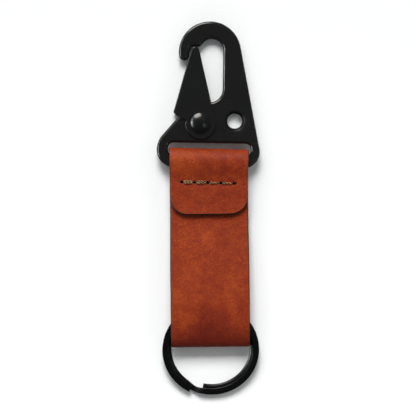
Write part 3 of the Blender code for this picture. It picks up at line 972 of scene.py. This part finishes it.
def make_gate():
    fold_points = [Vector(p) for p in to_pivot(gate_ear_bend() + gate_fold_side())]

    def on_fold(vert):
        return any((vert.co.xy - point).length < touching for point in fold_points)

    bm = slab(to_pivot(gate_outline()), gate_half)
    for wanted, offset, segments in (
            (on_fold, gate_fold_radius, 8), (lambda vert: True, gate_edge_break, 3)):
        bmesh.ops.bevel(bm, geom=rim_edges(bm, wanted), offset=offset, segments=segments,
                        profile=0.5, material=-1, affect="EDGES")
    gate = finish_piece("gate_sheet", bm, gate_place, [gate_paint], 30)
    inner = gate_fold_side(gate_sheet)
    start = Vector(inner[0]) - Vector(gate_rise).normalized() * 3 * mm
    beyond = [(6 * mm, 34 * mm), (6 * mm, 3 * mm), (-12 * mm, 3 * mm)]
    inside = slab(to_pivot([tuple(start)] + inner[1:] + beyond), gate_inner)
    cut_away(gate, [
        finish_piece("gate_inside", inside, gate_place, [gate_paint]),
        cylinder("gate_bore", bore_radius, -2 * gate_half, 2 * gate_half, gate_place, [gate_paint])])
    level_faces(gate)
    stand_for(gate, "gate", "gate")


def make_rivet():
    """A domed head in front, a plain shank, and a flat rolled tail behind."""
    seat = gate_half + 0.08 * mm
    curve = (dome_radius ** 2 + dome_height ** 2) / (2 * dome_height)
    reach = degrees(asin((dome_radius - 0.1 * mm) / curve))
    dome = arc((0, seat + dome_rim + dome_height - curve), curve, 90, 90 - reach, 16)
    profile = dome + arc((dome_radius - dome_edge, dome[-1][1] - 0.16 * mm), dome_edge, 40, 0, 4)
    profile += arc((dome_radius - seat_edge, seat + seat_edge), seat_edge, 0, -90, 4)
    profile += [(shank_radius, seat), (shank_radius, -seat)]
    profile += [(rivet_tail, -seat), (rivet_tail, -seat - 0.35 * mm)]
    profile += arc((rivet_tail - 0.3 * mm, -seat - 0.4 * mm), 0.3 * mm, 0, -90, 5)
    profile += [(0.9 * mm, -seat - 0.7 * mm), (0.45 * mm, -seat - 0.55 * mm), (0, -seat - 0.5 * mm)]
    settled = gate_place @ Matrix.Translation(rivet_play)
    rivet = finish_piece("domed_rivet", turned(profile, 64), settled, [rivet_paint], 45)
    stand_for(rivet, "gate_rivet", "hook")


def make_spring():
    """A leg along the plate's recess, two and a half turns up, and an end bent into its hole."""
    first, wound, steps = 74.0, 884.0, 160
    route = [(-7.15 * mm, 4.12 * mm, spring_low), (-3.3 * mm, 3.05 * mm, spring_low)]
    for i in range(steps + 1):
        angle = radians(first - wound * i / steps)
        height = spring_low + (spring_high - spring_low) * i / steps
        route.append((spring_radius * cos(angle), spring_radius * sin(angle), height))
    x, y, z = route[-1]
    route += [(x, y, z + 0.25 * mm), (x, y, z + 0.6 * mm)]
    bm = bmesh.new()
    draw_along(bm, arc((0, 0), spring_wire / 2, 0, 330, 11), stations_along(route))
    spring = finish_piece("closing_spring", bm, gate_place, [wire_finish], 60)
    stand_for(spring, "gate_spring", "hook")


# Split ring

def wire_section():
    """Flat wire with round corners, and a few more points in the face that is worn."""
    across = wire_width / 2 - wire_corner
    tall = wire_height / 2 - wire_corner
    points = []
    for number, (x, y) in enumerate([(across, tall), (-across, tall), (-across, -tall), (across, -tall)]):
        points += arc((x, y), wire_corner, 90 * number, 90 * number + 90, 4)
        if number == 2:
            points += [(reach * mm, -wire_height / 2) for reach in (-0.65, -0.5, -0.35, -0.2)]
    return points


def share_past(along, start_and_blend):
    """From 0 to 1 as the wire passes a place along it."""
    start, blend = start_and_blend
    return smooth_step((along - start) / blend)


def ring_stations():
    """Flat wire wound in from the upper end, stepping down a level after its first turn."""
    steps = 300
    level = (wire_height + turn_gap) / 2
    stations = []
    for i in range(steps + 1):
        along = ring_sweep * i / steps
        turn = radians(ring_first_angle - along)
        jog = bump_of(along - jog_bulge_at[0], jog_bulge_at[1])
        radius = ring_start_radius - ring_pitch * along / 360
        radius += jog_bulge * jog - inner_curl * share_past(along, inner_curl_at)
        drop = share_past(along, (jog_start, jog_end - jog_start))
        point = Vector((radius * cos(turn), ring_oval * radius * sin(turn), level * (1 - 2 * drop)))
        outward = Vector((ring_oval * cos(turn), sin(turn), 0))
        tilt = Matrix.Rotation(jog_twist * bump_of(along - jog_twist_at[0], jog_twist_at[1]), 4, "Z")
        pinch = Matrix.Diagonal((1 - jog_pinch * jog, 1, 1, 1))
        stations.append(place(point, outward, Vector((0, 0, 1)).cross(outward)) @ tilt @ pinch)
    return stations


def make_ring():
    bm = bmesh.new()
    section, stations = wire_section(), ring_stations()
    draw_along(bm, section, stations)
    for index, vert in enumerate(bm.verts):
        number = index // len(section)
        local = stations[number].inverted() @ vert.co
        if local.y < 0 and local.x < wear_line:
            worn = inner_wear * share_past(ring_sweep * number / (len(stations) - 1), inner_wear_at)
            local.y += worn * ((wear_line - local.x) / wear_across) ** wear_roundness
            vert.co = stations[number] @ local
    ring = finish_piece("key_ring", bm, ring_place, [ring_paint], 40)
    stand_for(ring, "split_ring", "ring")


# Stage

def make_floor():
    """Pale paper, with painted light that makes it a little brighter towards the ring's end."""
    f = Finish("pale_floor", Roughness=0.9, Specular_IOR_Level=0.1)
    along = f.node("SeparateXYZ", Vector=f.surface_place()).outputs["Y"]
    # Painted light: the paper's colour is a little brighter towards the ring's end
    painted_falloff = f.spread(along, -65 * mm, 65 * mm)
    f.set("Base Color", f.mix(painted_falloff, (0.93, 0.93, 0.93, 1), (0.83, 0.83, 0.83, 1)))
    bm = bmesh.new()
    bmesh.ops.create_grid(bm, x_segments=2, y_segments=2, size=1.5)
    floor = finish_piece("floor", bm, Matrix.Translation((0, 0, -0.02 * mm)), [f.material])


def softbox(name, azimuth, elevation, distance, width, height, power, colour=(1, 1, 1), only=None):
    """A soft light aimed at the object, with angles in degrees and the rest in metres and watts.

    Azimuth 0 is the hook's end, and 90 its left side. With only="light" it isn't reflected, and
    with only="shine" it is only reflected.
    """
    data = bpy.data.lights.new(name, "AREA")
    data.shape = "RECTANGLE"
    data.size = width
    data.size_y = height
    data.energy = power
    data.color = colour
    light = bpy.data.objects.new(name, data)
    a, e = radians(azimuth), radians(elevation)
    away = Vector((-sin(a) * cos(e), cos(a) * cos(e), sin(e)))
    light.location = away * distance
    light.rotation_mode = "QUATERNION"
    light.rotation_quaternion = away.to_track_quat("Z", "Y")
    light.visible_diffuse = only != "shine"
    light.visible_glossy = only != "light"
    bpy.context.scene.collection.objects.link(light)


def make_lights():
    # The first five light the object and cast its shadows, and the next five only show in its paint
    softbox("key", 4, 49, 3.0, 1.2, 1.3, 80, only="light")
    softbox("wide_box", 22, 40, 3.0, 2.2, 1.6, 30, only="light")
    softbox("right_fill", -70, 35, 3.0, 2.0, 1.2, 9, only="light")
    softbox("low_fill", 180, 25, 3.0, 4.0, 1.0, 14, only="light")
    softbox("top_fill", 0, 88, 3.0, 1.5, 1.5, 3.2, (0.75, 1, 1), "light")
    softbox("shine_box", 20, 30, 3.0, 1.9, 1.5, 170, (1, 0.95, 0.9), "shine")
    softbox("left_strip", 90, 29, 2.0, 1.1, 0.25, 42, only="shine")
    softbox("corner_strip", 62, 21, 2.0, 0.7, 0.6, 12, only="shine")
    softbox("near_lamp", -31, 50, 2.0, 0.07, 0.07, 1.1, only="shine")
    softbox("side_lamp", -109, 62, 2.0, 0.07, 0.07, 2.4, only="shine")
    hole_lamp()
    make_world()
    bpy.context.scene.view_settings.view_transform = "Standard"


def hole_lamp():
    """A narrow lamp from straight above, for the shade inside the cord hole."""
    over_hole = Vector((0.1 * mm, -0.8 * mm, 250 * mm))
    data = bpy.data.lights.new("hole_lamp", "SPOT")
    data.energy = 1.2
    data.spot_size = radians(1.3)
    data.spot_blend = 0.6
    data.shadow_soft_size = 2 * mm
    lamp = bpy.data.objects.new("hole_lamp", data)
    lamp.location = hook_place @ Vector((*cord_hole, 0)) + over_hole
    lamp.visible_glossy = False
    bpy.context.scene.collection.objects.link(lamp)


def make_world():
    """A dim pale room, a little brighter towards the hook's end."""
    world = bpy.data.worlds.new("studio")
    world.use_nodes = True
    tree = world.node_tree
    direction = tree.nodes.new("ShaderNodeTexCoord")
    split = tree.nodes.new("ShaderNodeSeparateXYZ")
    shade = tree.nodes.new("ShaderNodeMapRange")
    for socket, value in (("From Min", -1.0), ("From Max", 1.0), ("To Min", 0.1), ("To Max", 0.3)):
        shade.inputs[socket].default_value = value
    tree.links.new(direction.outputs["Generated"], split.inputs["Vector"])
    tree.links.new(split.outputs["Y"], shade.inputs["Value"])
    tree.links.new(shade.outputs["Result"], tree.nodes["Background"].inputs["Strength"])
    tree.nodes["Background"].inputs["Color"].default_value = (1, 1, 1, 1)
    bpy.context.scene.world = world


def make_camera():
    """Straight above, far off through a long lens, with the photograph's width and scale."""
    pixels_across = 416
    pixels_per_mm = 3.12
    picture = pixels_across / pixels_per_mm * mm
    data = bpy.data.cameras.new("camera")
    data.sensor_width = 36
    data.lens = 260
    camera = bpy.data.objects.new("camera", data)
    height = picture * data.lens / data.sensor_width
    camera.location = (0, 0, height + stack_height)
    bpy.context.scene.collection.objects.link(camera)
    bpy.context.scene.camera = camera


to_ring = ring_place.inverted() @ strap_place
waxed = waxed_leather()
edge_finish = burnished_edge()
flesh = flesh_side()
hole_shade_finish = awl_hole_shade()
thread_finish = waxed_thread()
hook_paint = black_paint("hook_paint", (0.0038, 0.0038, 0.0038, 1), 0.15, 0.19, 0.04, 0.35)
gate_paint = black_paint("gate_paint", (0.0037, 0.0038, 0.0038, 1), 0.15, 0.19, 0.04, 0.35)
rivet_paint = black_paint("rivet_paint", (0.0022, 0.0025, 0.0025, 1), 0.2, 0.24, 0.03, 0.29)
ring_paint = black_paint("ring_paint", (0.0006, 0.0007, 0.0008, 1), 0.22, 0.28, 0.04, 0.22)
wire_finish = bright_wire()
make_floor()
make_strap()
make_thread()
make_plate()
make_gate()
make_rivet()
make_spring()
make_ring()
make_lights()
make_camera()
